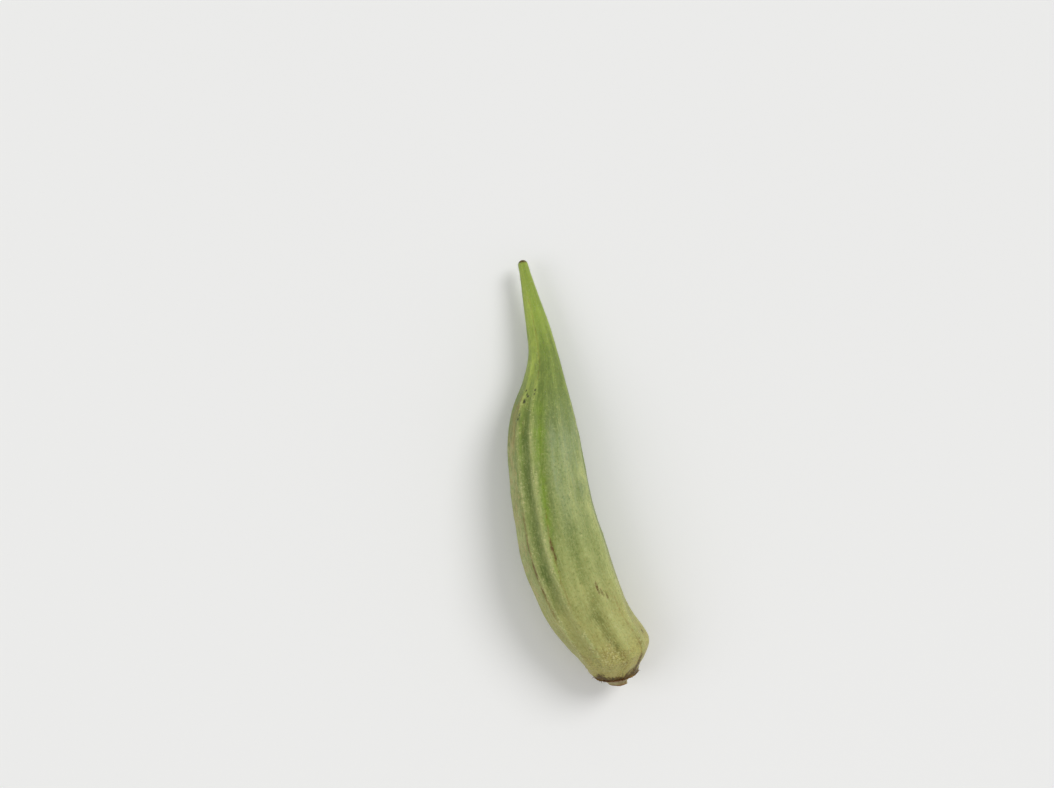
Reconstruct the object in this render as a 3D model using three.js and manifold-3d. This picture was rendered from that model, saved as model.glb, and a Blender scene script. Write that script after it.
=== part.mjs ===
// An okra pod as picked, lying on its side. Millimetres, +Z up.
// +Y runs from the stem end to the tip and z = 0 is the surface that the pod rests on.
// The origin is under the middle of the whole pod, stem end included.

import * as THREE from 'three';
import { mergeVertices } from 'three/addons/utils/BufferGeometryUtils.js';
import Module from 'manifold-3d';

const wasm = await Module();
wasm.setup();

// Driving sizes of the pod
const podLength = 118;
const bellyRadius = 12.3;
const tipRounding = 1.3;

// Driving sizes of the cap of old flower base and the short cut stem on it
const capBaseRadius = 5.8;
const capLength = 2.2;
const stemRadius = 2.7;
const stemLength = 0.8;
const stemCutSlope = 0.16;
const jointGap = 0.3;

// Where the ring between pod and cap lies in the part's frame
const ringPlace = new THREE.Vector3(4, -57.05, 0);

// The pod's line at stations along its length from the ring. aside is how far the middle line
// lies to +X of the chord, high is its height over the surface, and thick is the radius over the
// ribs as a share of bellyRadius.
const stations = [
  { along: 0, aside: -0.2, high: 8.3, thick: 0.515 },
  { along: 1.5, aside: -0.1, high: 8.7, thick: 0.6 },
  { along: 3.2, aside: 0.7, high: 9.15, thick: 0.705 },
  { along: 5.5, aside: 1.15, high: 9.85, thick: 0.805 },
  { along: 8.5, aside: 0.2, high: 10.35, thick: 0.84 },
  { along: 12, aside: -1.5, high: 10.6, thick: 0.842 },
  { along: 16, aside: -3.0, high: 10.8, thick: 0.887 },
  { along: 20, aside: -4.25, high: 10.95, thick: 0.936 },
  { along: 26, aside: -5.5, high: 11.15, thick: 0.968 },
  { along: 36, aside: -6.7, high: 11.2, thick: 0.995 },
  { along: 48, aside: -6.9, high: 10.7, thick: 0.935 },
  { along: 58, aside: -6.25, high: 10.2, thick: 0.9 },
  { along: 68, aside: -5.1, high: 9.5, thick: 0.842 },
  { along: 76, aside: -3.5, high: 8.75, thick: 0.711 },
  { along: 84, aside: -1.35, high: 7.95, thick: 0.484 },
  { along: 91, aside: -0.1, high: 7.35, thick: 0.345 },
  { along: 98, aside: 0.2, high: 6.9, thick: 0.28 },
  { along: 106, aside: 0.1, high: 6.45, thick: 0.203 },
  { along: 114, aside: 0.05, high: 6.05, thick: 0.13 },
  { along: podLength, aside: 0, high: 5.85, thick: 0.11 },
];

// The ribs round the pod, as angles in degrees from the top towards +X, over the belly and at
// the stem end. furrow is the depth of the hollow from this rib to the next, as a share of the
// radius, on the half towards the tip and on the half towards the stem.
const ribs = [
  { belly: -90, stem: -92, furrow: [0.05, 0.04] },
  { belly: -47, stem: -62, furrow: [0.062, 0.055] },
  { belly: -22, stem: -26, furrow: [0.052, 0.02] },
  { belly: 5, stem: -8, furrow: [0.014, 0.07] },
  { belly: 28, stem: 22, furrow: [0.055, 0.04] },
  { belly: 67, stem: 48, furrow: [0.07, 0.06] },
  { belly: 104, stem: 94, furrow: [0.085, 0.07] },
  { belly: 160, stem: 146, furrow: [0.105, 0.09] },
  { belly: 200, stem: 188, furrow: [0.07, 0.06] },
  { belly: 236, stem: 232, furrow: [0.055, 0.05] },
];

// How much of each furrow is left along the pod: full in the belly, faint veins in the neck
const furrowFade = [
  { along: 0, left: 0.45 },
  { along: 4, left: 0.75 },
  { along: 14, left: 1 },
  { along: 68, left: 1 },
  { along: 80, left: 0.8 },
  { along: 92, left: 0.5 },
  { along: podLength, left: 0.35 },
];
const bellyStart = 22;
const ringSide = 4;
const tipSideStart = 36;
const tipSideFull = 52;

const rowCount = 64;
const rowCrowding = 0.62;
const columnsPerRib = 6;

// Each section faces along the stretch of line this far behind and ahead of it
const facingReach = 8;

// A smooth curve through the values of one key at the stations
function smoothValue(list, key, along) {
  const last = list.length - 1;
  let i = 0;
  while (i < last - 1 && along > list[i + 1].along) i += 1;
  const slopeAt = (k) => {
    const a = list[Math.max(k - 1, 0)];
    const b = list[Math.min(k + 1, last)];
    return (b[key] - a[key]) / (b.along - a.along);
  };
  const from = list[i];
  const to = list[i + 1];
  const span = to.along - from.along;
  const t = (along - from.along) / span;
  const eased = t * t * (3 - 2 * t);
  return from[key] * (1 - eased) + to[key] * eased
    + span * t * (1 - t) * ((1 - t) * slopeAt(i) - t * slopeAt(i + 1));
}

// The middle line, its direction, and the section's own right and up at a distance from the ring
function lineAt(along) {
  const place = (at) => {
    const aside = smoothValue(stations, 'aside', at);
    const high = smoothValue(stations, 'high', at);
    return new THREE.Vector3(aside, at, high).add(ringPlace);
  };
  const ahead = Math.min(along + facingReach, podLength);
  const behind = Math.max(along - facingReach, 0);
  const forward = place(ahead).sub(place(behind)).normalize();
  const right = new THREE.Vector3().crossVectors(forward, new THREE.Vector3(0, 0, 1)).normalize();
  const up = new THREE.Vector3().crossVectors(right, forward);
  return { middle: place(along), forward, right, up };
}

// The angle of each rib's line, which drifts as it nears the stem end
function ribAngle(rib, along) {
  const belly = THREE.MathUtils.smoothstep(along, ringSide, bellyStart);
  return THREE.MathUtils.degToRad(THREE.MathUtils.lerp(rib.stem, rib.belly, belly));
}

// One row of points round the pod: sharp along each rib, hollow between one rib and the next
function rowAt(along) {
  const { middle, right, up } = lineAt(along);
  const fade = smoothValue(furrowFade, 'left', along);
  const tipSide = THREE.MathUtils.smoothstep(along, tipSideStart, tipSideFull);
  const intoTip = Math.max(0, along - (podLength - tipRounding)) / tipRounding;
  const radius = bellyRadius * smoothValue(stations, 'thick', along) * Math.sqrt(1 - intoTip ** 2);
  const row = [];
  ribs.forEach((rib, i) => {
    const from = ribAngle(rib, along);
    const next = ribAngle(ribs[(i + 1) % ribs.length], along) + (i + 1 === ribs.length ? 2 * Math.PI : 0);
    const depth = fade * THREE.MathUtils.lerp(rib.furrow[1], rib.furrow[0], tipSide);
    for (let k = 0; k < columnsPerRib; k += 1) {
      const across = k / columnsPerRib;
      const angle = THREE.MathUtils.lerp(from, next, across);
      const out = radius * (1 - depth * 4 * across * (1 - across));
      row.push(middle.clone()
        .addScaledVector(up, out * Math.cos(angle))
        .addScaledVector(right, out * Math.sin(angle)));
    }
  });
  return row;
}

// A closed skin over rows of points, with a point at each end
function skinOver(rows, startPoint, endPoint) {
  const round = rows[0].length;
  const points = [startPoint, ...rows.flat(), endPoint];
  const index = [];
  const at = (row, column) => 1 + row * round + (column % round);
  for (let c = 0; c < round; c += 1) {
    index.push(0, at(0, c + 1), at(0, c));
    for (let r = 0; r + 1 < rows.length; r += 1) {
      index.push(at(r, c), at(r, c + 1), at(r + 1, c));
      index.push(at(r, c + 1), at(r + 1, c + 1), at(r + 1, c));
    }
    index.push(points.length - 1, at(rows.length - 1, c), at(rows.length - 1, c + 1));
  }
  return new THREE.BufferGeometry().setFromPoints(points).setIndex(index);
}

function solidFrom(geometry) {
  const bare = geometry.clone();
  bare.deleteAttribute('normal');
  bare.deleteAttribute('uv');
  const merged = mergeVertices(bare, 1e-4);
  return new wasm.Manifold(new wasm.Mesh({
    numProp: 3,
    vertProperties: new Float32Array(merged.attributes.position.array),
    triVerts: new Uint32Array(merged.index.array),
  }));
}

function geometryFrom(solid) {
  const { vertProperties, triVerts } = solid.getMesh();
  const geometry = new THREE.BufferGeometry();
  geometry.setAttribute('position', new THREE.BufferAttribute(vertProperties, 3));
  geometry.setIndex(new THREE.BufferAttribute(triVerts, 1));
  return geometry;
}

// The pod, with small flats where its two lowest ribs rest
function podGeometry() {
  const rows = [];
  for (let i = 0; i < rowCount; i += 1) {
    const share = i / rowCount;
    const crowded = share - rowCrowding * Math.sin(2 * Math.PI * share) / (2 * Math.PI);
    rows.push(rowAt(podLength * crowded));
  }
  const skin = skinOver(rows, lineAt(0).middle, lineAt(podLength).middle);
  const slabDepth = 10;
  const slab = new THREE.BoxGeometry(4 * bellyRadius, 2 * podLength, slabDepth);
  slab.translate(0, 0, -slabDepth / 2);
  return geometryFrom(solidFrom(skin).subtract(solidFrom(slab)));
}

// The cap and cut stem, turned about their own axis and laid along the pod's line at the ring
function stemCap() {
  const end = capLength + stemLength;
  const outline = [
    [0, 0],
    [capBaseRadius, 0],
    [capBaseRadius * 0.98, capLength * 0.12],
    [capBaseRadius * 0.86, capLength * 0.34],
    [capBaseRadius * 0.68, capLength * 0.6],
    [stemRadius * 1.22, capLength * 0.86],
    [stemRadius * 1.03, capLength],
    [stemRadius, end],
    [0, end],
  ].map(([radius, height]) => new THREE.Vector2(radius, height));
  const geometry = new THREE.LatheGeometry(outline, 32);
  const points = geometry.attributes.position;
  for (let i = 0; i < points.count; i += 1) {
    const up = Math.max(0, points.getY(i) - capLength) / stemLength;
    points.setY(i, points.getY(i) + up * stemCutSlope * points.getX(i));
  }
  const material = new THREE.MeshStandardMaterial({ color: 0xc2c496, roughness: 0.75, metalness: 0 });
  const mesh = new THREE.Mesh(geometry, material);
  const { middle, forward } = lineAt(0);
  const outward = forward.clone().negate();
  mesh.quaternion.setFromUnitVectors(new THREE.Vector3(0, 1, 0), outward);
  mesh.position.copy(middle).addScaledVector(outward, jointGap);
  mesh.name = 'stem_cap';
  return mesh;
}

function pod() {
  const material = new THREE.MeshStandardMaterial({ color: 0x8f9e62, roughness: 0.62, metalness: 0 });
  const mesh = new THREE.Mesh(podGeometry(), material);
  mesh.name = 'pod';
  return mesh;
}

const group = new THREE.Group();
group.add(pod(), stemCap());

export default group;
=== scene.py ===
import math
import random
from collections import namedtuple
from types import SimpleNamespace

import bmesh
import bpy
from mathutils import Matrix, Vector, noise


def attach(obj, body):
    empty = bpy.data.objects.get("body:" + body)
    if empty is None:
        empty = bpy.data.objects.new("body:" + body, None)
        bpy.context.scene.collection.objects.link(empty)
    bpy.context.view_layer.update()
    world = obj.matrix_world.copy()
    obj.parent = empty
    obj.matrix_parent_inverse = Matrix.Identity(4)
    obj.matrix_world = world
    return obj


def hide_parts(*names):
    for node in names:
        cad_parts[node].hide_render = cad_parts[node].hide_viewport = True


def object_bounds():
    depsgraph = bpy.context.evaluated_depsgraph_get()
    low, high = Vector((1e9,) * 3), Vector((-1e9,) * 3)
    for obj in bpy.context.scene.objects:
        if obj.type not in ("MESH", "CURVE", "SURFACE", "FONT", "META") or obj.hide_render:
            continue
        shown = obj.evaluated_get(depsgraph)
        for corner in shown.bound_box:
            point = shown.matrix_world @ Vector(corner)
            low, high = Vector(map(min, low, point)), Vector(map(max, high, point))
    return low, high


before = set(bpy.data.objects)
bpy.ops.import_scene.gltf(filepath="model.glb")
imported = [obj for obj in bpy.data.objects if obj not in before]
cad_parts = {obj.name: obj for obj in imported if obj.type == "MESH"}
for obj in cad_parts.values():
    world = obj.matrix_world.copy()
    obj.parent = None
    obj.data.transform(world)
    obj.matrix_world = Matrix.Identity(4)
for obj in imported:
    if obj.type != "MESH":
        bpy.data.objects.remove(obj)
cad_low, cad_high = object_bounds()

# Lengths below are in millimetres and angles in degrees, as on a drawing of the pod
MM = 0.001

# Driving sizes of the pod, its cap and the cut stem, as the frame has them
POD_LENGTH = 118
BELLY_RADIUS = 12.3
TIP_ROUNDING = 1.3
CAP_BASE_RADIUS = 5.8
CAP_LENGTH = 2.2
STEM_RADIUS = 2.7
STEM_LENGTH = 0.8
STEM_CUT_SLOPE = 0.16
JOINT_GAP = 0.3
RING_PLACE = Vector((4, -57.05, 0))

# Each section faces along the stretch of line this far behind and ahead of it
FACING_REACH = 8

# The pod's line at stations from the ring: distance along, aside to +X of the chord,
# height over the surface, and radius over the ribs as a share of BELLY_RADIUS
STATIONS = [
    (0, -0.2, 8.3, 0.515),
    (1.5, -0.1, 8.7, 0.6),
    (3.2, 0.7, 9.15, 0.705),
    (5.5, 1.15, 9.85, 0.805),
    (8.5, 0.2, 10.35, 0.84),
    (12, -1.5, 10.6, 0.842),
    (16, -3.0, 10.8, 0.887),
    (20, -4.25, 10.95, 0.936),
    (26, -5.5, 11.15, 0.968),
    (36, -6.7, 11.2, 0.995),
    (48, -6.9, 10.7, 0.935),
    (58, -6.25, 10.2, 0.9),
    (68, -5.1, 9.5, 0.842),
    (76, -3.5, 8.75, 0.711),
    (84, -1.35, 7.95, 0.484),
    (91, -0.1, 7.35, 0.345),
    (98, 0.2, 6.9, 0.28),
    (106, 0.1, 6.45, 0.203),
    (114, 0.05, 6.05, 0.13),
    (POD_LENGTH, 0, 5.85, 0.11),
]

# Each rib's angle from the top towards +X over the belly and at the stem end, then the depth of
# the hollow to the next rib, as a share of the radius, towards the tip and towards the stem
RIBS = [
    (-90, -92, 0.05, 0.04),
    (-47, -62, 0.062, 0.055),
    (-22, -26, 0.052, 0.02),
    (5, -8, 0.014, 0.07),
    (28, 22, 0.055, 0.04),
    (67, 48, 0.07, 0.06),
    (104, 94, 0.085, 0.07),
    (160, 146, 0.105, 0.09),
    (200, 188, 0.07, 0.06),
    (236, 232, 0.055, 0.05),
]

# How much of each furrow is left along the pod: full in the belly, faint veins in the neck
FURROW_FADE = [(0, 0.45), (4, 0.75), (14, 1), (68, 1), (80, 0.8), (92, 0.5), (POD_LENGTH, 0.35)]

# Where the ribs turn from their angles at the stem end to those over the belly, and where the
# furrows turn from their depths on the stem side to those on the tip side
RING_SIDE, BELLY_START = 4, 22
TIP_SIDE_START, TIP_SIDE_FULL = 36, 52

# The skin's grid: its columns round the pod and its rows along it, of which the first ones lie on
# the end inside the ring, and how closely the others crowd towards both ends
SKIN_COLUMNS = 280
SKIN_ROWS = 320
END_ROWS = 8
ROW_CROWDING = 0.55

# How tight the patterns that run along a piece are round it, and how drawn out they are along it
STRAND_TIGHTNESS = 3
SKIN_STRETCH = 0.035
CAP_STRETCH = 0.2

# Points closer than this become one
MERGE_REACH = 0.0005

# The photograph's scale on the pod, its width, and the pixels of its middle and of the ring
PIXELS_PER_MM = 3.6
FRAME_WIDTH_PX = 1054
FRAME_MIDDLE_PX = Vector((527, 394))
RING_PX = Vector((617, 673))

# How far the pod leans to the left in the photograph, and the lens
POD_LEAN = 12.96
LENS_MM = 85
SENSOR_MM = 36


def eased(low, high, value):
    """0 below low, 1 above high and smooth between."""
    t = min(max((value - low) / (high - low), 0), 1)
    return t * t * (3 - 2 * t)


def between(start, full, waning, end, value):
    """0 up to start and from end on, 1 from full to waning, and smooth between."""
    return eased(start, full, value) * (1 - eased(waning, end, value))


def bell(off, half_width):
    """1 in the middle and less to both sides."""
    return math.exp(-(off / half_width) ** 2)


def blend(a, b, share):
    return a + (b - a) * share


def signed_angle(angle):
    """The same angle, between -180 and 180."""
    return (angle + 180) % 360 - 180


def noise_round(turn, tightness, place):
    """Noise that joins up with itself round a piece."""
    return noise.noise(Vector((math.cos(turn) * tightness, math.sin(turn) * tightness, place)))


def strand_place(turn, lengthwise):
    """A place for the patterns that run along a piece, which join up round it."""
    return Vector((math.sin(turn) * STRAND_TIGHTNESS, math.cos(turn) * STRAND_TIGHTNESS, lengthwise))


def pointing(towards):
    """The turn that lays an upright piece along a direction."""
    return towards.to_track_quat("Z", "Y").to_matrix().to_4x4()


def smooth_value(table, column, along):
    """The smooth curve through one column of a table of stations."""
    last = len(table) - 1
    i = 0
    while i < last - 1 and along > table[i + 1][0]:
        i += 1

    def slope(k):
        a, b = table[max(k - 1, 0)], table[min(k + 1, last)]
        return (b[column] - a[column]) / (b[0] - a[0])

    start, end = table[i], table[i + 1]
    span = end[0] - start[0]
    t = (along - start[0]) / span
    ease = t * t * (3 - 2 * t)
    bend = span * t * (1 - t) * ((1 - t) * slope(i) - t * slope(i + 1))
    return blend(start[column], end[column], ease) + bend


def line_place(along):
    aside = smooth_value(STATIONS, 1, along)
    high = smooth_value(STATIONS, 2, along)
    return Vector((aside, along, high)) + RING_PLACE


def line_at(along):
    """The pod's middle line there, with its forward, right and up directions."""
    ahead, behind = min(along + FACING_REACH, POD_LENGTH), max(along - FACING_REACH, 0)
    forward = line_place(ahead) - line_place(behind)
    forward.normalize()
    right = forward.cross(Vector((0, 0, 1))).normalized()
    return line_place(along), forward, right, right.cross(forward)


def new_piece(name, bm, material):
    """Turns a bmesh in millimetres into a piece that rides on the pod's body."""
    bmesh.ops.scale(bm, vec=(MM, MM, MM), verts=bm.verts)
    for face in bm.faces:
        face.smooth = True
    mesh = bpy.data.meshes.new(name)
    bm.to_mesh(mesh)
    bm.free()
    piece = bpy.data.objects.new(name, mesh)
    bpy.context.scene.collection.objects.link(piece)
    mesh.materials.append(material)
    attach(piece, "root")
    return piece


def keep_in_frame(bm):
    """Flattens the few points that stand proud of the frame's box, underside included."""
    low, high = cad_low / MM, cad_high / MM
    for vert in bm.verts:
        for axis in range(3):
            vert.co[axis] = min(max(vert.co[axis], low[axis]), high[axis])


# Materials

def tone(red, green, blue):
    """A colour given on the usual 0 to 255 scale, as the shader wants it."""
    def linear(value):
        value /= 255
        return value / 12.92 if value <= 0.04045 else ((value + 0.055) / 1.055) ** 2.4
    return linear(red), linear(green), linear(blue), 1


class Shader:
    """A material's nodes, added one by one."""

    def __init__(self, name):
        self.material = bpy.data.materials.new(name)
        self.material.use_nodes = True
        self.tree = self.material.node_tree
        self.surface = self.tree.nodes["Principled BSDF"]

    def add(self, kind, out=0, settings=None, **inputs):
        node = self.tree.nodes.new("ShaderNode" + kind)
        for key, value in (settings or {}).items():
            setattr(node, key, value)
        for key, value in inputs.items():
            self.feed(node.inputs[int(key[1:])] if key[1:].isdigit() else node.inputs[key], value)
        return node.outputs[out]

    def feed(self, socket, value):
        if isinstance(value, bpy.types.NodeSocket):
            self.tree.links.new(value, socket)
        else:
            socket.default_value = value

    def attribute(self, name):
        return self.add("Attribute", 2, {"attribute_name": name})

    def vector_attribute(self, name):
        return self.add("Attribute", 1, {"attribute_name": name})

    def math(self, operation, a, b=0.0):
        return self.add("Math", settings={"operation": operation}, _0=a, _1=b)

    def plus(self, a, b):
        return self.math("ADD", a, b)

    def times(self, a, b):
        return self.math("MULTIPLY", a, b)

    def together(self, a, b, share=0.5):
        """Two patterns in one: this share of the first and the rest of the second."""
        return self.plus(self.times(a, share), self.times(b, 1 - share))

    def remap(self, value, low, high, to_low=0.0, to_high=1.0):
        return self.add("MapRange", _0=value, _1=low, _2=high, _3=to_low, _4=to_high)

    def mix(self, share, a, b):
        node = self.tree.nodes.new("ShaderNodeMix")
        node.data_type = "RGBA"
        for socket, value in ((node.inputs[0], share), (node.inputs[6], a), (node.inputs[7], b)):
            self.feed(socket, value)
        return node.outputs[2]

    def noise(self, vector, scale, detail=4.0, roughness=0.55):
        return self.add("TexNoise", Vector=vector, Scale=scale, Detail=detail, Roughness=roughness)

    def ragged(self, layer, pattern, most):
        """A layer's strength with its soft edge broken up by a pattern, up to most."""
        level = self.attribute(layer)
        reach = self.plus(pattern, self.times(level, 0.3))
        cover = self.times(self.remap(reach, 0.6, 0.76), self.remap(level, 0.0, 0.15))
        return self.times(cover, most)

    def paint(self, under, layer, strength, over):
        """One colour over another where a layer of the mesh says so."""
        return self.mix(self.times(self.attribute(layer), strength), under, over)

    def object_place(self):
        return self.add("TexCoord", 3)

    def set(self, **values):
        for name, value in values.items():
            self.feed(self.surface.inputs[name.replace("_", " ")], value)


# The skin's colours
RIM_OLIVE = tone(130, 116, 60)
END_OLIVE = tone(176, 174, 100)
LOWER_GREEN = tone(154, 163, 90)
BELLY_GREEN = tone(134, 149, 74)
SHOULDER_GREEN = tone(120, 138, 60)
NECK_GREEN = tone(146, 168, 58)
DEEP_GREEN = tone(80, 100, 22)
DEEP_OLIVE = tone(112, 108, 40)
BRIGHT_GREEN = tone(124, 152, 32)
RIB_PALE = tone(180, 187, 118)
NECK_PALE = tone(176, 194, 84)
FLANK_OLIVE = tone(142, 130, 58)
BUFF = tone(186, 166, 108)
# Pale colour of a painted reflection, a veil of reflected light over the wide face
PAINTED_REFLECTION = tone(158, 172, 132)
CRUMB = tone(204, 202, 138)
DRY_BROWN = tone(124, 92, 24)
SCAR_BROWN = tone(96, 66, 4)
SPECK_DARK = tone(30, 26, 10)
RIM_BROWN = tone(100, 68, 6)
RIM_DARK = tone(42, 26, 2)
NETTING = tone(196, 188, 108)

# Base colour from the ring at 0 to the tip at 1
LENGTHWISE = [(0.0, RIM_OLIVE), (0.05, END_OLIVE), (0.17, END_OLIVE), (0.3, LOWER_GREEN),
              (0.48, BELLY_GREEN), (0.64, SHOULDER_GREEN), (0.74, SHOULDER_GREEN),
              (0.88, NECK_GREEN), (1.0, NECK_GREEN)]


CRUMB_SCALE = 1700.0


def skin_patterns(s):
    """The seeded patterns of the skin, and the tones that its marks take on along the pod."""
    place = s.object_place()
    strand = s.vector_attribute("strand")
    skin = SimpleNamespace()
    skin.clouds = s.noise(place, 90.0, 4.0)
    skin.mottle = s.noise(place, 330.0, 5.0, 0.6)
    skin.flecks = s.noise(place, 1500.0, 4.0, 0.7)
    skin.grain = s.noise(place, 1600.0, 5.0, 0.65)
    skin.fine_net = s.noise(place, 2300.0, 3.0, 0.65)
    skin.streaks = s.noise(strand, 2.6, 6.0, 0.6)
    skin.fine_streaks = s.noise(strand, 11.0, 5.0, 0.65)
    skin.dots = s.remap(s.noise(strand, 34.0, 3.0, 0.7), 0.44, 0.56)
    crumb_cells = s.add("TexVoronoi", 0, Vector=place, Scale=CRUMB_SCALE)
    crumb_sizes = s.add("TexVoronoi", 1, Vector=place, Scale=CRUMB_SCALE)
    crumbs = s.remap(s.math("SUBTRACT", crumb_sizes, crumb_cells), 0.12, 0.3)
    skin.crumbs = s.times(crumbs, s.ragged("crumb", skin.mottle, 0.6))

    in_neck = s.remap(s.attribute("along"), 0.58, 0.72)
    skin.paler = s.mix(in_neck, RIB_PALE, NECK_PALE)
    skin.crumb_colour = s.mix(in_neck, CRUMB, NECK_PALE)
    skin.darker = s.mix(s.remap(s.attribute("along"), 0.06, 0.22), DEEP_OLIVE, DEEP_GREEN)
    return skin


def lengthwise_colour(s):
    """The base colour, which changes from the ring to the tip."""
    base = s.add("ValToRGB", _0=s.attribute("along"))
    ramp = base.node.color_ramp
    for position, colour in LENGTHWISE[1:-1]:
        ramp.elements.new(position).color = colour
    ramp.elements[0].color = LENGTHWISE[0][1]
    ramp.elements[len(LENGTHWISE) - 1].color = LENGTHWISE[-1][1]
    return base


def banded_colour(s, skin):
    """The base colour with its clouds and the bands along the ribs and furrows."""
    streaks, fine, darker = skin.streaks, skin.fine_streaks, skin.darker
    colour = s.mix(s.remap(skin.clouds, 0.4, 0.65, 0.0, 0.2), lengthwise_colour(s), darker)
    # Painted shade: the furrows darkened in step with their depth
    colour = s.paint(colour, "hollow", 0.3, darker)
    colour = s.mix(s.remap(streaks, 0.48, 0.64, 0.0, 0.22), colour, darker)
    flank = s.ragged("flank", s.together(skin.mottle, streaks), 0.7)
    colour = s.mix(flank, colour, FLANK_OLIVE)
    # Painted reflection: a pale veil of reflected light over the wide face
    colour = s.paint(colour, "painted_reflection", s.remap(streaks, 0.35, 0.62, 0.15, 0.6), PAINTED_REFLECTION)
    # Deeper green along the furrows, partly painted shade
    colour = s.paint(colour, "dark", s.remap(fine, 0.3, 0.65, 1.0, 0.55), darker)
    colour = s.paint(colour, "bright", s.remap(fine, 0.3, 0.65, 1.0, 0.65), BRIGHT_GREEN)
    # Paler skin along the ribs, partly painted highlight
    colour = s.paint(colour, "pale", s.remap(fine, 0.35, 0.62, 0.35, 1.0), skin.paler)
    # Pale rib crests, partly painted highlight
    colour = s.paint(colour, "crest", s.remap(fine, 0.35, 0.6, 0.2, 0.75), skin.paler)
    buff = s.ragged("buff", s.together(streaks, fine, 0.45), 0.62)
    return s.mix(buff, colour, s.mix(s.remap(skin.mottle, 0.4, 0.6), BUFF, RIB_PALE))


def flecked_colour(s, skin, colour):
    """Fine streaks and flecks, and the net and crumbs near the ring."""
    fine, flecks = skin.fine_streaks, skin.flecks
    colour = s.mix(s.remap(fine, 0.54, 0.7, 0.0, 0.4), colour, skin.paler)
    colour = s.mix(s.remap(fine, 0.44, 0.3, 0.0, 0.3), colour, skin.darker)
    share = s.remap(s.attribute("along"), 0.5, 0.75, 0.5, 0.22)
    colour = s.mix(s.times(s.remap(flecks, 0.54, 0.68), share), colour, skin.paler)
    colour = s.mix(s.times(s.remap(flecks, 0.45, 0.32), share), colour, skin.darker)
    rough_end = s.ragged("rough_end", skin.mottle, 0.5)
    colour = s.mix(rough_end, colour, s.mix(flecks, DRY_BROWN, RIM_OLIVE))
    colour = s.mix(s.ragged("rough_end", skin.fine_net, 0.55), colour, NETTING)
    return s.mix(skin.crumbs, colour, skin.crumb_colour)


def marked_colour(s, skin, colour):
    """Dried lines, scars, specks and the brown rim."""
    colour = s.paint(colour, "dry_line", skin.dots, DRY_BROWN)
    colour = s.paint(colour, "scar", s.remap(skin.flecks, 0.38, 0.58, 0.35, 1.0), SCAR_BROWN)
    colour = s.mix(s.attribute("speck"), colour, SPECK_DARK)
    rim = s.ragged("rim", s.together(skin.mottle, skin.flecks), 0.9)
    return s.mix(rim, colour, s.mix(s.remap(skin.fine_net, 0.4, 0.6), RIM_DARK, RIM_BROWN))


def pod_skin_material():
    s = Shader("okra_skin")
    skin = skin_patterns(s)
    colour = banded_colour(s, skin)
    colour = flecked_colour(s, skin, colour)
    colour = marked_colour(s, skin, colour)
    height = s.plus(s.times(skin.grain, 0.8), skin.fine_streaks)
    height = s.plus(height, s.times(skin.mottle, 0.6))
    height = s.plus(height, s.times(skin.crumbs, 0.7))
    bump = s.add("Bump", Strength=0.6, Distance=0.00026, Height=height)
    waxy = s.remap(skin.streaks, 0.3, 0.7, 0.46, 0.64)
    dull = s.plus(waxy, s.times(s.attribute("rim"), 0.3))
    s.set(Base_Color=colour, Normal=bump, Roughness=dull)
    s.set(Specular_IOR_Level=0.4, Subsurface_Weight=0.06, Subsurface_Scale=0.001)
    s.set(Sheen_Weight=0.08, Sheen_Roughness=0.5)
    return s.material


def stem_material():
    s = Shader("okra_stem_cap")
    place = s.object_place()
    fibre = s.noise(s.vector_attribute("strand"), 3.0, 6.0, 0.65)
    mottle = s.noise(place, 500.0, 5.0)
    rings = s.noise(place, 1800.0, 3.0)
    cream, green, brown = tone(204, 198, 152), tone(164, 166, 106), tone(124, 84, 36)
    pith, wood = tone(200, 182, 144), tone(152, 122, 82)
    colour = s.mix(s.remap(fibre, 0.35, 0.65), cream, green)
    colour = s.mix(s.remap(mottle, 0.45, 0.68, 0.0, 0.7), colour, brown)
    face = s.mix(s.remap(rings, 0.4, 0.6), pith, wood)
    colour = s.mix(s.attribute("cut"), colour, face)
    # The brown of the dried rim, with painted shade on the cap's upward side
    colour = s.mix(s.attribute("rim"), colour, brown)
    height = s.plus(fibre, s.times(mottle, 0.5))
    bump = s.add("Bump", Strength=0.6, Distance=0.0003, Height=height)
    s.set(Base_Color=colour, Normal=bump, Roughness=s.remap(mottle, 0.3, 0.7, 0.62, 0.82))
    s.set(Subsurface_Weight=0.06, Subsurface_Scale=0.001)
    return s.material


def ring_scar_material():
    s = Shader("dried_calyx_ring")
    place = s.object_place()
    bark = s.noise(place, 1400.0, 6.0, 0.7)
    faded = s.remap(s.noise(place, 260.0, 3.0), 0.42, 0.62)
    dark = s.mix(s.remap(bark, 0.35, 0.7), tone(48, 28, 6), tone(102, 68, 22))
    colour = s.mix(faded, dark, s.mix(bark, tone(88, 60, 20), tone(166, 136, 78)))
    bump = s.add("Bump", Strength=0.7, Distance=0.0003, Height=bark)
    s.set(Base_Color=colour, Normal=bump, Roughness=0.85, Specular_IOR_Level=0.2)
    return s.material


def floor_material():
    s = Shader("pale_floor")
    cloud = s.noise(s.object_place(), 1.5, 2.0)
    s.set(Base_Color=s.mix(cloud, (0.87, 0.87, 0.86, 1), (0.9, 0.9, 0.89, 1)), Roughness=0.9)
    return s.material


# The pod's skin

# What runs along the skin is given as a line from one place to another, each a distance along the
# pod and an angle, then its half width in millimetres and its depth or strength

# Soft grooves between the ribs
GROOVES = [
    (20, -37, 84, -33, 1.3, 0.3),
    (24, -16, 82, -8, 0.8, 0.3),
    (4, 4, 44, 15, 1.2, 0.32),
    (18, 46, 70, 46, 1.8, 0.12),
]

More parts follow.
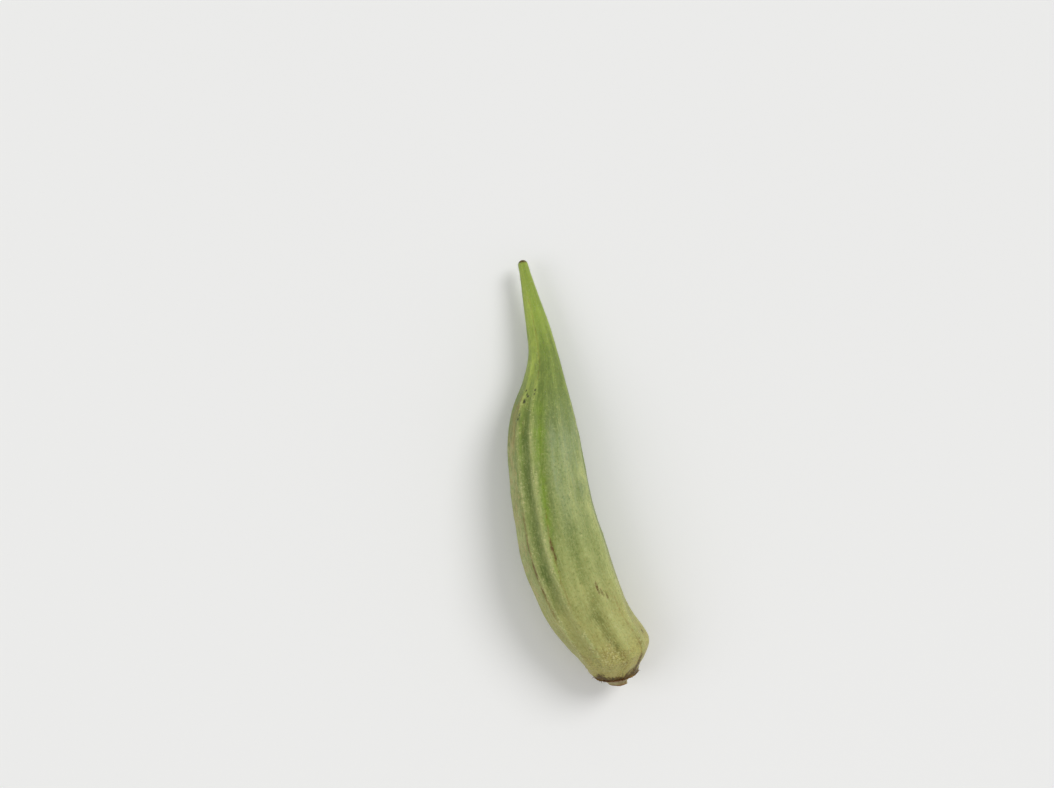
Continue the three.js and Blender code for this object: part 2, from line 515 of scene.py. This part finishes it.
# Bands of colour
BANDS = {
    # Deeper green along the furrows, partly painted shade in them
    "dark": [
        (48, -35, 77, -32, 1.2, 0.85),
        (20, -39, 50, -35, 1.6, 0.9),
        (-3, 5, 26, 8, 1.6, 0.85),
        (-6, 9, 18, 7, 1.4, 1.0),
        (-9, -46, 11, -34, 1.6, 0.9),
        (-9, 42, 13, 51, 1.0, 0.85),
        (26, 12, 44, 15, 1.7, 0.4),
        (44, 45, 56, 46, 1.4, 0.4),
        (64, 16, 100, 18, 2.4, 0.55),
        (62, 8, 86, 12, 2.2, 0.5),
        (30, 84, 70, 84, 2.0, 0.5),
        (16, 124, 74, 130, 2.4, 0.6),
        (20, 176, 66, 182, 2.0, 0.45),
        (18, -150, 72, -146, 1.8, 0.5),
        (24, -108, 80, -106, 1.5, 0.45),
    ],
    "bright": [
        (58, -9, 80, -8, 1.7, 1.0),
        (37, -13, 64, -9, 1.1, 1.0),
        (26, -17, 46, -13, 0.6, 0.55),
        (58, -43, 78, -43, 0.4, 0.6),
        (82, -50, 114, -50, 1.4, 0.3),
        (84, 6, 114, 6, 1.0, 0.3),
        (50, 92, 84, 96, 1.2, 0.5),
    ],
    # Paler skin along the ribs, partly painted highlight on them
    "pale": [
        (28, -22, 74, -21, 0.9, 0.6),
        (34, 31, 66, 33, 2.4, 0.4),
        (12, 24, 40, 34, 2.6, 0.45),
        (14, 62, 66, 62, 2.2, 0.95),
        (4, 26, 20, 30, 2.2, 0.75),
        (10, -6, 40, 0, 1.6, 0.4),
        (80, -38, 114, -34, 1.3, 0.8),
        (78, -68, 110, -58, 1.2, 0.75),
        (72, -39, 92, -43, 1.3, 0.55),
        (14, 148, 60, 158, 1.6, 0.5),
        (20, 214, 60, 222, 2.0, 0.5),
    ],
    "buff": [
        (18, -77, 78, -70, 4.2, 1.0),
        (4, 70, 24, 76, 4.4, 0.95),
        (20, -128, 44, -126, 2.4, 0.7),
    ],
    "flank": [
        (58, -68, 84, -62, 3.4, 1.0),
        (70, -42, 88, -44, 2.2, 0.8),
        (84, -78, 96, -76, 1.2, 0.5),
        (2, 8, 14, 10, 3.0, 0.6),
    ],
}

# How gently the lines of each layer begin and end
LINE_FADE = {"groove": 10, "dark": 9, "bright": 9, "pale": 9, "buff": 16, "flank": 13, "dry_line": 3}

# How unevenly bands and dried lines run, how far a line's mark goes on past its ends, and how many
# half widths it reaches to its sides
BAND_UNEVENNESS = 1.0
DRY_LINE_UNEVENNESS = 0.7
LINE_OVERRUN = 1
LINE_REACH = 4

# How pale each rib's crest is, partly painted highlight, in the order of RIBS
CREST_PALENESS = [0.5, 1.0, 1.0, 0.15, 0.45, 0.9, 0.8, 0.7, 0.8, 0.6]

# Dried brown lines, broken into dots
DRY_LINES = [
    (20, -49, 50, -51, 0.45, 1.0),
    (66, -57, 80, -50, 0.28, 0.9),
    (22, -18, 49, -13, 0.24, 0.8),
    (82, -18, 108, -16, 0.2, 0.6),
    (12, -56, 21, -58, 0.3, 0.5),
    (16, -88, 74, -92, 0.4, 0.7),
    (8, 47, 22, 49, 0.26, 0.8),
    (12, 103, 66, 112, 0.3, 0.8),
    (18, 150, 60, 160, 0.3, 0.6),
    (16, -124, 70, -122, 0.35, 0.8),
    (1, 40, 9, 46, 0.3, 1.0),
]

# Brown scars: place along the pod, angle, half length, half width, strength
SCARS = [
    (38.6, -14.5, 2.1, 0.5, 1.0),
    (36, -13.5, 1.5, 0.38, 1.0),
    (24.6, 26.5, 1.8, 0.4, 1.0),
    (22.6, 30, 1.3, 0.36, 0.9),
    (21, 36, 1.1, 0.34, 0.85),
    (34, -50, 2.8, 0.44, 0.95),
    (40, -51, 1.8, 0.36, 0.85),
    (28.5, -50, 1.4, 0.4, 0.8),
    (50, 128, 2.6, 0.4, 0.7),
    (28, -140, 1.8, 0.5, 0.8),
]

# Where the brown of the ring runs further up the pod: angle, half width, how much further
RING_STAINS = [
    (44, 24, 2.2),
    (47, 8, 4.5),
    (-58, 22, 1.8),
    (-38, 11, 4.0),
]

# Dark specks: place along the pod, angle, radius
SPECKS = [
    (80.4, -21, 0.36),
    (79.3, -21.5, 0.28),
    (80.6, -45, 0.26),
    (79.6, -41, 0.26),
    (79, -37, 0.34),
    (77.4, -42, 0.5),
    (74.2, -47, 0.3),
    (72.8, -49, 0.34),
    (8.8, 74, 0.42),
    (61, 150, 0.4),
    (45, -118, 0.36),
]

# The painted pale veil of reflected light over the wide face: where it starts, is full, wanes and
# ends, round and along the pod
PAINTED_REFLECTION_ROUND = (-6, 12, 56, 100)
PAINTED_REFLECTION_ALONG = (34, 62, 66, 84)

# The pale crumbs: how far from a crest they lie, and where they lie near the ring, thickest to one
# side of the top
CRUMBS_ON_CREST = 0.9
CRUMBS_ALONG = (1, 4, 6, 14)
CRUMBS_ANGLE, CRUMBS_HALF_ANGLE = -15, 20

# The ribs' crests are blunted a little, and pale over a wider strip, partly painted highlight
CREST_BLUNTING, CREST_HALF_WIDTH = 0.16, 0.45
PALE_HALF_WIDTH = 0.65

# How far lumps, seeds, veins, fine ridges and the roughness near the ring raise the skin, and how
# far its marks lie in it
LUMP_HEIGHT, SEED_HEIGHT, VEIN_HEIGHT, RIDGE_HEIGHT = 0.16, 0.09, 0.06, 0.035
ROUGH_HEIGHT, ROUGH_FULL, ROUGH_END = 0.22, 2, 12
MARK_DEPTHS = {"scar": 0.12, "speck": 0.05, "dry_line": 0.04}

# How far up the pod the ring's brown and the dry rough skin run, and how much that varies
RIM_START, RIM_LEAST, RIM_REACH, RIM_VARIATION = 0.1, 0.5, 1.5, 2.2
DRY_REACH, DRY_VARIATION = 17, 8

# Where the brown of the tip's scar starts and is full
TIP_SCAR = (POD_LENGTH - 1.4, POD_LENGTH - 0.3)

# A hollow of this depth, as a share of the radius, takes its full painted shade
FULL_HOLLOW = 0.06

# What the material needs to know at each point of the skin
SKIN_LAYERS = ("along", "crest", "hollow", "dark", "bright", "pale", "buff", "flank", "painted_reflection",
               "dry_line", "scar", "speck", "rim", "rough_end", "crumb")

# What all points of one row of the skin share. share is how far out to the full radius the row
# lies, and fade is how much of its furrows is left.
Row = namedtuple("Row", "along share middle forward right up radius fade")


def row_at(along, share=1.0):
    """The row of the skin at a distance along the pod."""
    middle, forward, right, up = line_at(along)
    into_tip = max(0.0, along - (POD_LENGTH - TIP_ROUNDING)) / TIP_ROUNDING
    radius = BELLY_RADIUS * smooth_value(STATIONS, 3, along)
    radius *= math.sqrt(max(0.0, 1 - into_tip ** 2))
    return Row(along, share, middle, forward, right, up, radius, smooth_value(FURROW_FADE, 1, along))


def numbered_row(number):
    """The skin's rows in turn: first over the end inside the ring, then along the pod."""
    if number <= END_ROWS:
        return row_at(0.0, number / END_ROWS)
    share = (number - END_ROWS) / (SKIN_ROWS - END_ROWS)
    crowded = share - ROW_CROWDING * math.sin(math.tau * share) / math.tau
    return row_at(POD_LENGTH * crowded)


def spot(along, angle, radius, middle, at_angle, half_length, half_width):
    """1 at the middle of a mark on the skin and 0 at its edge, with a ragged outline."""
    across = math.radians(angle - at_angle) * radius
    ragged = 1 + 0.5 * noise.noise(Vector((along * 1.3, across * 2.6, middle)))
    reach = math.hypot((along - middle) / half_length, across / half_width) * ragged
    return 1 - eased(0.55, 1.15, reach)


def rib_hollow(along, angle):
    """How far across from one rib to the next, the hollow's depth, the gap and the nearer rib."""
    belly = eased(RING_SIDE, BELLY_START, along)
    tip_side = eased(TIP_SIDE_START, TIP_SIDE_FULL, along)
    angles = [blend(rib[1], rib[0], belly) for rib in RIBS]
    angles.append(angles[0] + 360)
    wrapped = (angle - angles[0]) % 360 + angles[0]
    i = max(k for k in range(len(RIBS)) if wrapped >= angles[k] - 1e-9)
    across = (wrapped - angles[i]) / (angles[i + 1] - angles[i])
    depth = blend(RIBS[i][3], RIBS[i][2], tip_side)
    nearer = i if across < 0.5 else (i + 1) % len(RIBS)
    return across, depth, angles[i + 1] - angles[i], nearer


def line_mark(along, angle, radius, line, fade, uneven=0.0):
    """How strongly a point of the skin lies on a line that runs along it."""
    start, start_angle, end, end_angle, half_width, strength = line
    low, high = start - LINE_OVERRUN, end + LINE_OVERRUN
    if not low < along < high:
        return 0.0
    share = min(max((along - start) / (end - start), 0), 1)
    across = math.radians(signed_angle(angle - blend(start_angle, end_angle, share))) * radius
    if abs(across) > LINE_REACH * half_width:
        return 0.0
    if uneven:
        drift = noise.noise(Vector((along * 0.2, start_angle, start)))
        ragged = noise.noise(Vector((along * 0.8, across * 0.9, start_angle)))
        across += uneven * 0.7 * drift
        half_width *= 1 + uneven * (0.5 * drift + 0.35 * ragged)
        strength *= min(1.15, 0.9 + uneven * (0.6 * drift + 0.5 * ragged))
    strength *= between(low, start + fade, end - fade, high, along)
    return strength * bell(across, half_width)


def skin_marks(along, angle, radius):
    """The marks that the skin carries at one point, by layer."""
    def strongest(lines, layer, uneven):
        fade = LINE_FADE[layer]
        return max(line_mark(along, angle, radius, line, fade, uneven) for line in lines)

    marks = {layer: strongest(lines, layer, BAND_UNEVENNESS) for layer, lines in BANDS.items()}
    marks["dry_line"] = strongest(DRY_LINES, "dry_line", DRY_LINE_UNEVENNESS)
    marks["scar"] = max(power * spot(along, angle, radius, middle, at, long, wide)
                        for middle, at, long, wide, power in SCARS)
    marks["speck"] = max(spot(along, angle, radius, middle, at, size, size)
                         for middle, at, size in SPECKS)
    # Painted reflection over the wide face
    marks["painted_reflection"] = between(*PAINTED_REFLECTION_ROUND, angle) * between(*PAINTED_REFLECTION_ALONG, along)
    return marks


def browning(along, angle, turn):
    """How brown the skin is, by the ragged ring and at the very tip."""
    stain = sum(reach * bell(angle - at, wide) for at, wide, reach in RING_STAINS)
    end = RIM_REACH + RIM_VARIATION * noise_round(turn, 9, along * 0.9) + stain
    rim = 1 - eased(RIM_START, max(RIM_LEAST, end), along)
    return max(rim, eased(*TIP_SCAR, along))


def crumbliness(along, angle, paleness, from_crest):
    """How thick the pale crumbs lie, on the ribs and near the ring."""
    near_ring = between(*CRUMBS_ALONG, along)
    near_ring *= 0.25 + 0.75 * bell(angle - CRUMBS_ANGLE, CRUMBS_HALF_ANGLE)
    return min(1, 0.9 * max(paleness * bell(from_crest, CRUMBS_ON_CREST), near_ring))


def skin_point(row, angle):
    """One point of the skin, and what the material needs to know there."""
    along, radius = row.along, row.radius
    turn = math.radians(angle)
    signed = signed_angle(angle)
    across, depth, gap, rib = rib_hollow(along, angle)
    hollow = 4 * across * (1 - across)
    from_crest = min(across, 1 - across) * math.radians(gap) * radius
    out = radius * (1 - row.fade * depth * hollow)
    out -= CREST_BLUNTING * row.fade * bell(from_crest, CREST_HALF_WIDTH)
    out -= sum(line_mark(along, signed, radius, line, LINE_FADE["groove"]) for line in GROOVES)

    slim = radius / BELLY_RADIUS
    lumps = noise_round(turn, 2.4, along * 0.13)
    out += slim * LUMP_HEIGHT * lumps
    out += slim * SEED_HEIGHT * noise_round(turn, 5, along * 0.3 + 40)
    out += slim * VEIN_HEIGHT * noise_round(turn, 11, along * 0.05 + 9)
    out += slim * RIDGE_HEIGHT * noise_round(turn, 34, along * 0.14 + 70)
    rough = noise_round(turn, 6, along * 0.8 + 20) * (1 - eased(ROUGH_FULL, ROUGH_END, along))
    out += slim * ROUGH_HEIGHT * rough

    facts = skin_marks(along, signed, radius)
    out -= sum(dent * facts[layer] for layer, dent in MARK_DEPTHS.items())
    uneven = noise.noise(Vector((along * 0.12, rib * 7, 5)))
    paleness = CREST_PALENESS[rib] * min(1.2, max(0.15, 0.75 + 1.1 * uneven))
    dry_end = DRY_REACH + DRY_VARIATION * noise_round(turn, 2.2, along * 0.16 + 60)
    facts["along"] = along / POD_LENGTH
    # Pale crests, partly painted highlight
    facts["crest"] = paleness * bell(from_crest, PALE_HALF_WIDTH)
    # Painted shade in the furrows: the deeper the hollow, the darker
    facts["hollow"] = hollow * row.fade * min(1, depth / FULL_HOLLOW) * (0.8 + 0.7 * lumps)
    facts["rim"] = browning(along, signed, turn)
    facts["rough_end"] = (1 - eased(0, dry_end, along)) ** 1.5
    facts["crumb"] = crumbliness(along, signed, paleness, from_crest)
    out *= row.share
    return row.middle + row.up * (out * math.cos(turn)) + row.right * (out * math.sin(turn)), facts


def pod_piece():
    """The pod's skin: a flat grid wrapped round the pod's line, with its seam and ends closed."""
    bm = bmesh.new()
    uv_layer = bm.loops.layers.uv.new("skin")
    layers = {name: bm.verts.layers.float.new(name) for name in SKIN_LAYERS}
    strand = bm.verts.layers.float_vector.new("strand")
    bmesh.ops.create_grid(bm, x_segments=SKIN_COLUMNS, y_segments=SKIN_ROWS, size=0.5)
    for face in bm.faces:
        for loop in face.loops:
            loop[uv_layer].uv = (loop.vert.co.x + 0.5, loop.vert.co.y + 0.5)
    rows = [numbered_row(number) for number in range(SKIN_ROWS + 1)]
    for vert in bm.verts:
        row = rows[round((vert.co.y + 0.5) * SKIN_ROWS)]
        column = round((vert.co.x + 0.5) * SKIN_COLUMNS) % SKIN_COLUMNS
        angle = 360 * column / SKIN_COLUMNS
        vert.co, facts = skin_point(row, angle)
        for name, layer in layers.items():
            vert[layer] = facts[name]
        vert[strand] = strand_place(math.radians(angle), row.along * SKIN_STRETCH)
    bmesh.ops.remove_doubles(bm, verts=bm.verts, dist=MERGE_REACH)
    bmesh.ops.recalc_face_normals(bm, faces=bm.faces)
    keep_in_frame(bm)
    piece = new_piece("pod_skin", bm, pod_skin_material())
    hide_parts("pod")


# The cap and the cut stem

CAP_HEIGHT = CAP_LENGTH + STEM_LENGTH

# The cap's outline, as radius and height over its foot
CAP_OUTLINE = [
    (0, 0),
    (3, 0),
    (CAP_BASE_RADIUS, 0),
    (CAP_BASE_RADIUS * 0.98, CAP_LENGTH * 0.12),
    (CAP_BASE_RADIUS * 0.86, CAP_LENGTH * 0.34),
    (CAP_BASE_RADIUS * 0.68, CAP_LENGTH * 0.6),
    (STEM_RADIUS * 1.22, CAP_LENGTH * 0.86),
    (STEM_RADIUS * 1.03, CAP_LENGTH),
    (STEM_RADIUS, CAP_LENGTH + STEM_LENGTH * 0.9),
    (STEM_RADIUS * 0.93, CAP_HEIGHT),
    (STEM_RADIUS * 0.45, CAP_LENGTH + STEM_LENGTH * 0.97),
    (0, CAP_LENGTH + STEM_LENGTH * 0.95),
]
OUTLINE_CUTS = 3
CAP_STEPS = 96
CAP_SIDES = 5
SIDE_DEPTH = 0.03
FIBRE_DEPTH = 0.05
CUT_ROUGHNESS = 0.12

# The ring where the flower's leaves broke off: its own thickness, its size and its grid, and the
# height over the cap's foot at which it lies with its shreds
RING_WIRE = 0.3
RING_RADIUS = CAP_BASE_RADIUS + 0.25
RING_SIDES = 10
RING_STEPS = 200
RING_HEIGHT = -JOINT_GAP * 0.4


def stem_matrix():
    """Takes the cap's own frame, its axis along +Z, to its place at the ring."""
    middle, forward, _, _ = line_at(0)
    return Matrix.Translation(middle - forward * JOINT_GAP) @ pointing(-forward)


def spin_round(bm, steps):
    """Spins all that is there one full turn round the cap's axis."""
    bmesh.ops.spin(bm, geom=bm.verts[:] + bm.edges[:], cent=(0, 0, 0), axis=(0, 0, 1),
                   angle=math.tau, steps=steps, use_merge=True)


def stem_cap_piece():
    """The cap: an outline spun round its axis, with five blunt sides and fibres along it."""
    bm = bmesh.new()
    verts = [bm.verts.new((radius, 0, height)) for radius, height in CAP_OUTLINE]
    edges = [bm.edges.new(pair) for pair in zip(verts, verts[1:])]
    bmesh.ops.subdivide_edges(bm, edges=edges, cuts=OUTLINE_CUTS, use_grid_fill=False)
    spin_round(bm, CAP_STEPS)
    bmesh.ops.remove_doubles(bm, verts=bm.verts, dist=MERGE_REACH)
    bmesh.ops.recalc_face_normals(bm, faces=bm.faces)
    strand = bm.verts.layers.float_vector.new("strand")
    cut = bm.verts.layers.float.new("cut")
    rim = bm.verts.layers.float.new("rim")
    place = stem_matrix()
    turned = place.to_3x3()
    for vert in bm.verts:
        x, y, z = vert.co
        radius, turn = math.hypot(x, y), math.atan2(y, x)
        lobed = SIDE_DEPTH * math.cos(CAP_SIDES * turn) * eased(0, CAP_LENGTH, z)
        scale = 1 - SIDE_DEPTH + lobed + FIBRE_DEPTH * noise_round(turn, 9, z * 0.5)
        vert.co.x, vert.co.y = x * scale, y * scale
        on_stem = radius < STEM_RADIUS * 0.97
        on_cut = eased(CAP_HEIGHT * 0.955, CAP_HEIGHT * 0.965, z) if on_stem else 0.0
        rough = noise.noise(Vector((x * 1.8, y * 1.8, 5)))
        vert.co.z += CUT_ROUGHNESS * on_cut * rough
        vert.co.z += max(0.0, z - CAP_LENGTH) / STEM_LENGTH * STEM_CUT_SLOPE * vert.co.x
        vert[cut] = on_cut * 0.8
        near_edge = bell(radius - STEM_RADIUS * 0.96, 0.22) * eased(0.8, 1, z / CAP_HEIGHT)
        # Painted shade on the cap's upward side: the brown reaches further up and is stronger there
        outward = turned @ Vector((math.cos(turn), math.sin(turn), 0))
        upper = eased(0.1, 0.9, outward.z)
        stain_and_shade = 1 - eased(0.1, 0.7 + rough + 1.4 * upper, z)
        vert[rim] = min(1, 0.9 * near_edge + 0.8 * stain_and_shade + 0.35 * upper)
        vert[strand] = strand_place(turn, z * CAP_STRETCH)
    bmesh.ops.transform(bm, matrix=place, verts=bm.verts)
    keep_in_frame(bm)
    piece = new_piece("stem_cap_cut", bm, stem_material())
    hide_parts("stem_cap")


def ring_scar_piece():
    """The ragged brown ring where the flower's leaves broke off."""
    bm = bmesh.new()
    upright = Matrix.Rotation(math.pi / 2, 4, "X")
    section = Matrix.Translation((RING_RADIUS, 0, 0)) @ upright
    bmesh.ops.create_circle(bm, segments=RING_SIDES, radius=RING_WIRE, matrix=section)
    spin_round(bm, RING_STEPS)
    bmesh.ops.recalc_face_normals(bm, faces=bm.faces)
    for vert in bm.verts:
        x, y, z = vert.co
        ragged = noise_round(math.atan2(y, x), 14, 2)
        fine = noise.noise(vert.co * 2.7)
        out = 1 + (0.2 * ragged + 0.16 * fine) / RING_RADIUS
        vert.co.x, vert.co.y = x * out, y * out
        vert.co.z = z * (0.8 + 0.6 * ragged) + 0.12 * fine
    lift = Matrix.Translation((0, 0, RING_HEIGHT))
    bmesh.ops.transform(bm, matrix=stem_matrix() @ lift, verts=bm.verts)
    keep_in_frame(bm)
    new_piece("calyx_ring_scar", bm, ring_scar_material())


# What is left of the flower's leaves, and the fuzz

SHRED_COUNT = 64
SHRED_ROOTS = (0.1, 0.35)
SHRED_LENGTHS = (0.4, 1.1)
SHRED_HALF_WIDTHS = (0.1, 0.2)
SHRED_SIDES = 5

# The hairs: how many, how long and how thin, what share of them stands on the ribs and how far they
# stray from a rib's line, how much they lean, and how high over the surface they keep
HAIR_COUNT = 2600
HAIR_LENGTHS = (0.3, 0.75)
HAIR_HALF_WIDTH = 0.022
HAIR_SIDES = 3
ON_RIBS_SHARE = 0.55
RIB_STRAY = 2.5
HAIR_LEAN = (0.2, 0.9)
HAIR_CLEARANCE = 0.15


def add_spike(bm, root, towards, length, half_width, sides):
    """A small closed spike that stands on its root."""
    matrix = Matrix.Translation(root + towards * (length * 0.45)) @ pointing(towards)
    bmesh.ops.create_cone(bm, cap_ends=True, segments=sides, radius1=half_width,
                          radius2=half_width * 0.15, depth=length, matrix=matrix)


def calyx_shreds_piece():
    """Frayed bits of the fallen flower leaves, round the ring."""
    draw = random.Random(11)
    bm = bmesh.new()
    axis = Vector((0, 0, 1))
    for i in range(SHRED_COUNT):
        turn = math.tau * (i + draw.uniform(-0.4, 0.4)) / SHRED_COUNT
        outward = Vector((math.cos(turn), math.sin(turn), 0))
        root = outward * (CAP_BASE_RADIUS + draw.uniform(*SHRED_ROOTS)) + axis * RING_HEIGHT
        towards = outward * draw.uniform(0.1, 0.8) + axis * draw.choice((-0.8, 0.5))
        towards += outward.cross(axis) * draw.uniform(-0.5, 0.5)
        length, half_width = draw.uniform(*SHRED_LENGTHS), draw.uniform(*SHRED_HALF_WIDTHS)
        add_spike(bm, root, towards.normalized(), length, half_width, SHRED_SIDES)
    bmesh.ops.transform(bm, matrix=stem_matrix(), verts=bm.verts)
    keep_in_frame(bm)
    new_piece("calyx_shreds", bm, ring_scar_material())


def hair_material():
    s = Shader("okra_fuzz")
    shade = s.noise(s.object_place(), 300.0, 2.0)
    s.set(Base_Color=s.mix(shade, tone(196, 202, 158), tone(216, 216, 184)), Roughness=0.6)
    return s.material


def skin_outward(row, angle):
    """A place on the skin, and the way straight out from it."""
    here, _ = skin_point(row, angle)
    beside, _ = skin_point(row, angle + 1)
    ahead, _ = skin_point(row_at(min(row.along + 0.3, POD_LENGTH)), angle)
    outward = (ahead - here).cross(beside - here).normalized()
    if outward.dot(here - row.middle) < 0:
        outward = -outward
    return here, outward


def fine_hairs_piece():
    """Short soft hairs, thickest on the ribs, that lean towards the tip."""
    draw = random.Random(7)
    bm = bmesh.new()
    low, high = cad_low / MM, cad_high / MM
    made = 0
    while made < HAIR_COUNT:
        row = row_at(POD_LENGTH * draw.random())
        rib = draw.choice(RIBS)
        rib_line = blend(rib[1], rib[0], eased(RING_SIDE, BELLY_START, row.along))
        on_rib = rib_line + draw.gauss(0, RIB_STRAY)
        angle = on_rib if draw.random() < ON_RIBS_SHARE else draw.uniform(0, 360)
        here, outward = skin_outward(row, angle)
        towards = outward + row.forward * draw.uniform(*HAIR_LEAN)
        towards += Vector((draw.uniform(-0.4, 0.4), 0, draw.uniform(-0.4, 0.4)))
        towards.normalize()
        length = draw.uniform(*HAIR_LENGTHS)
        end = here + towards * length
        lifted = min(here.z, end.z) >= HAIR_CLEARANCE
        if lifted and all(low[axis] < end[axis] < high[axis] for axis in range(3)):
            add_spike(bm, here, towards, length, HAIR_HALF_WIDTH, HAIR_SIDES)
            made += 1
    new_piece("fine_hairs", bm, hair_material())


# Camera, floor and light

# The two soft lights: where they shine from, how strongly, and how soft they are
SUNS = {
    "soft_key": ((0.7, 0.35, 0.8), 1.35, 28),
    "soft_fill": ((-0.7, 0.1, 0.7), 0.5, 40),
}
SKY_STRENGTH = 0.52

# Half the side of the floor, in metres
FLOOR_REACH = 20


def photo_place(pixel):
    """Where a pixel of the photograph falls on the pod's level, in the part's frame."""
    right = (pixel.x - RING_PX.x) / PIXELS_PER_MM
    up = (RING_PX.y - pixel.y) / PIXELS_PER_MM
    lean = math.radians(POD_LEAN)
    x = right * math.cos(lean) + up * math.sin(lean)
    y = up * math.cos(lean) - right * math.sin(lean)
    return Vector((x, y, 0)) + RING_PLACE


def add_camera():
    data = bpy.data.cameras.new("camera")
    data.lens = LENS_MM
    data.sensor_width = SENSOR_MM
    camera = bpy.data.objects.new("camera", data)
    level = line_place(POD_LENGTH / 3).z
    back = LENS_MM / SENSOR_MM * FRAME_WIDTH_PX / PIXELS_PER_MM
    camera.location = (photo_place(FRAME_MIDDLE_PX) + Vector((0, 0, level + back))) * MM
    camera.rotation_euler = (0, 0, -math.radians(POD_LEAN))
    bpy.context.scene.collection.objects.link(camera)
    bpy.context.scene.camera = camera


def add_sun(name, place, strength, softness):
    """An even, soft light that shines from a place towards the pod."""
    data = bpy.data.lights.new(name, "SUN")
    data.energy = strength
    data.angle = math.radians(softness)
    light = bpy.data.objects.new(name, data)
    light.location = place
    light.rotation_euler = (-Vector(place)).to_track_quat("-Z", "Y").to_euler()
    bpy.context.scene.collection.objects.link(light)


def add_floor():
    bm = bmesh.new()
    bmesh.ops.create_grid(bm, x_segments=1, y_segments=1, size=FLOOR_REACH)
    mesh = bpy.data.meshes.new("floor")
    bm.to_mesh(mesh)
    bm.free()
    floor = bpy.data.objects.new("floor", mesh)
    mesh.materials.append(floor_material())
    bpy.context.scene.collection.objects.link(floor)


def add_stage():
    add_floor()
    for name, (place, strength, softness) in SUNS.items():
        add_sun(name, place, strength, softness)
    world = bpy.data.worlds.new("studio")
    world.use_nodes = True
    sky = world.node_tree.nodes["Background"]
    sky.inputs["Color"].default_value = (1, 1, 1, 1)
    sky.inputs["Strength"].default_value = SKY_STRENGTH
    bpy.context.scene.world = world
    bpy.context.scene.view_settings.view_transform = "Standard"


add_camera()
add_stage()
pod_piece()
stem_cap_piece()
ring_scar_piece()
calyx_shreds_piece()
fine_hairs_piece()
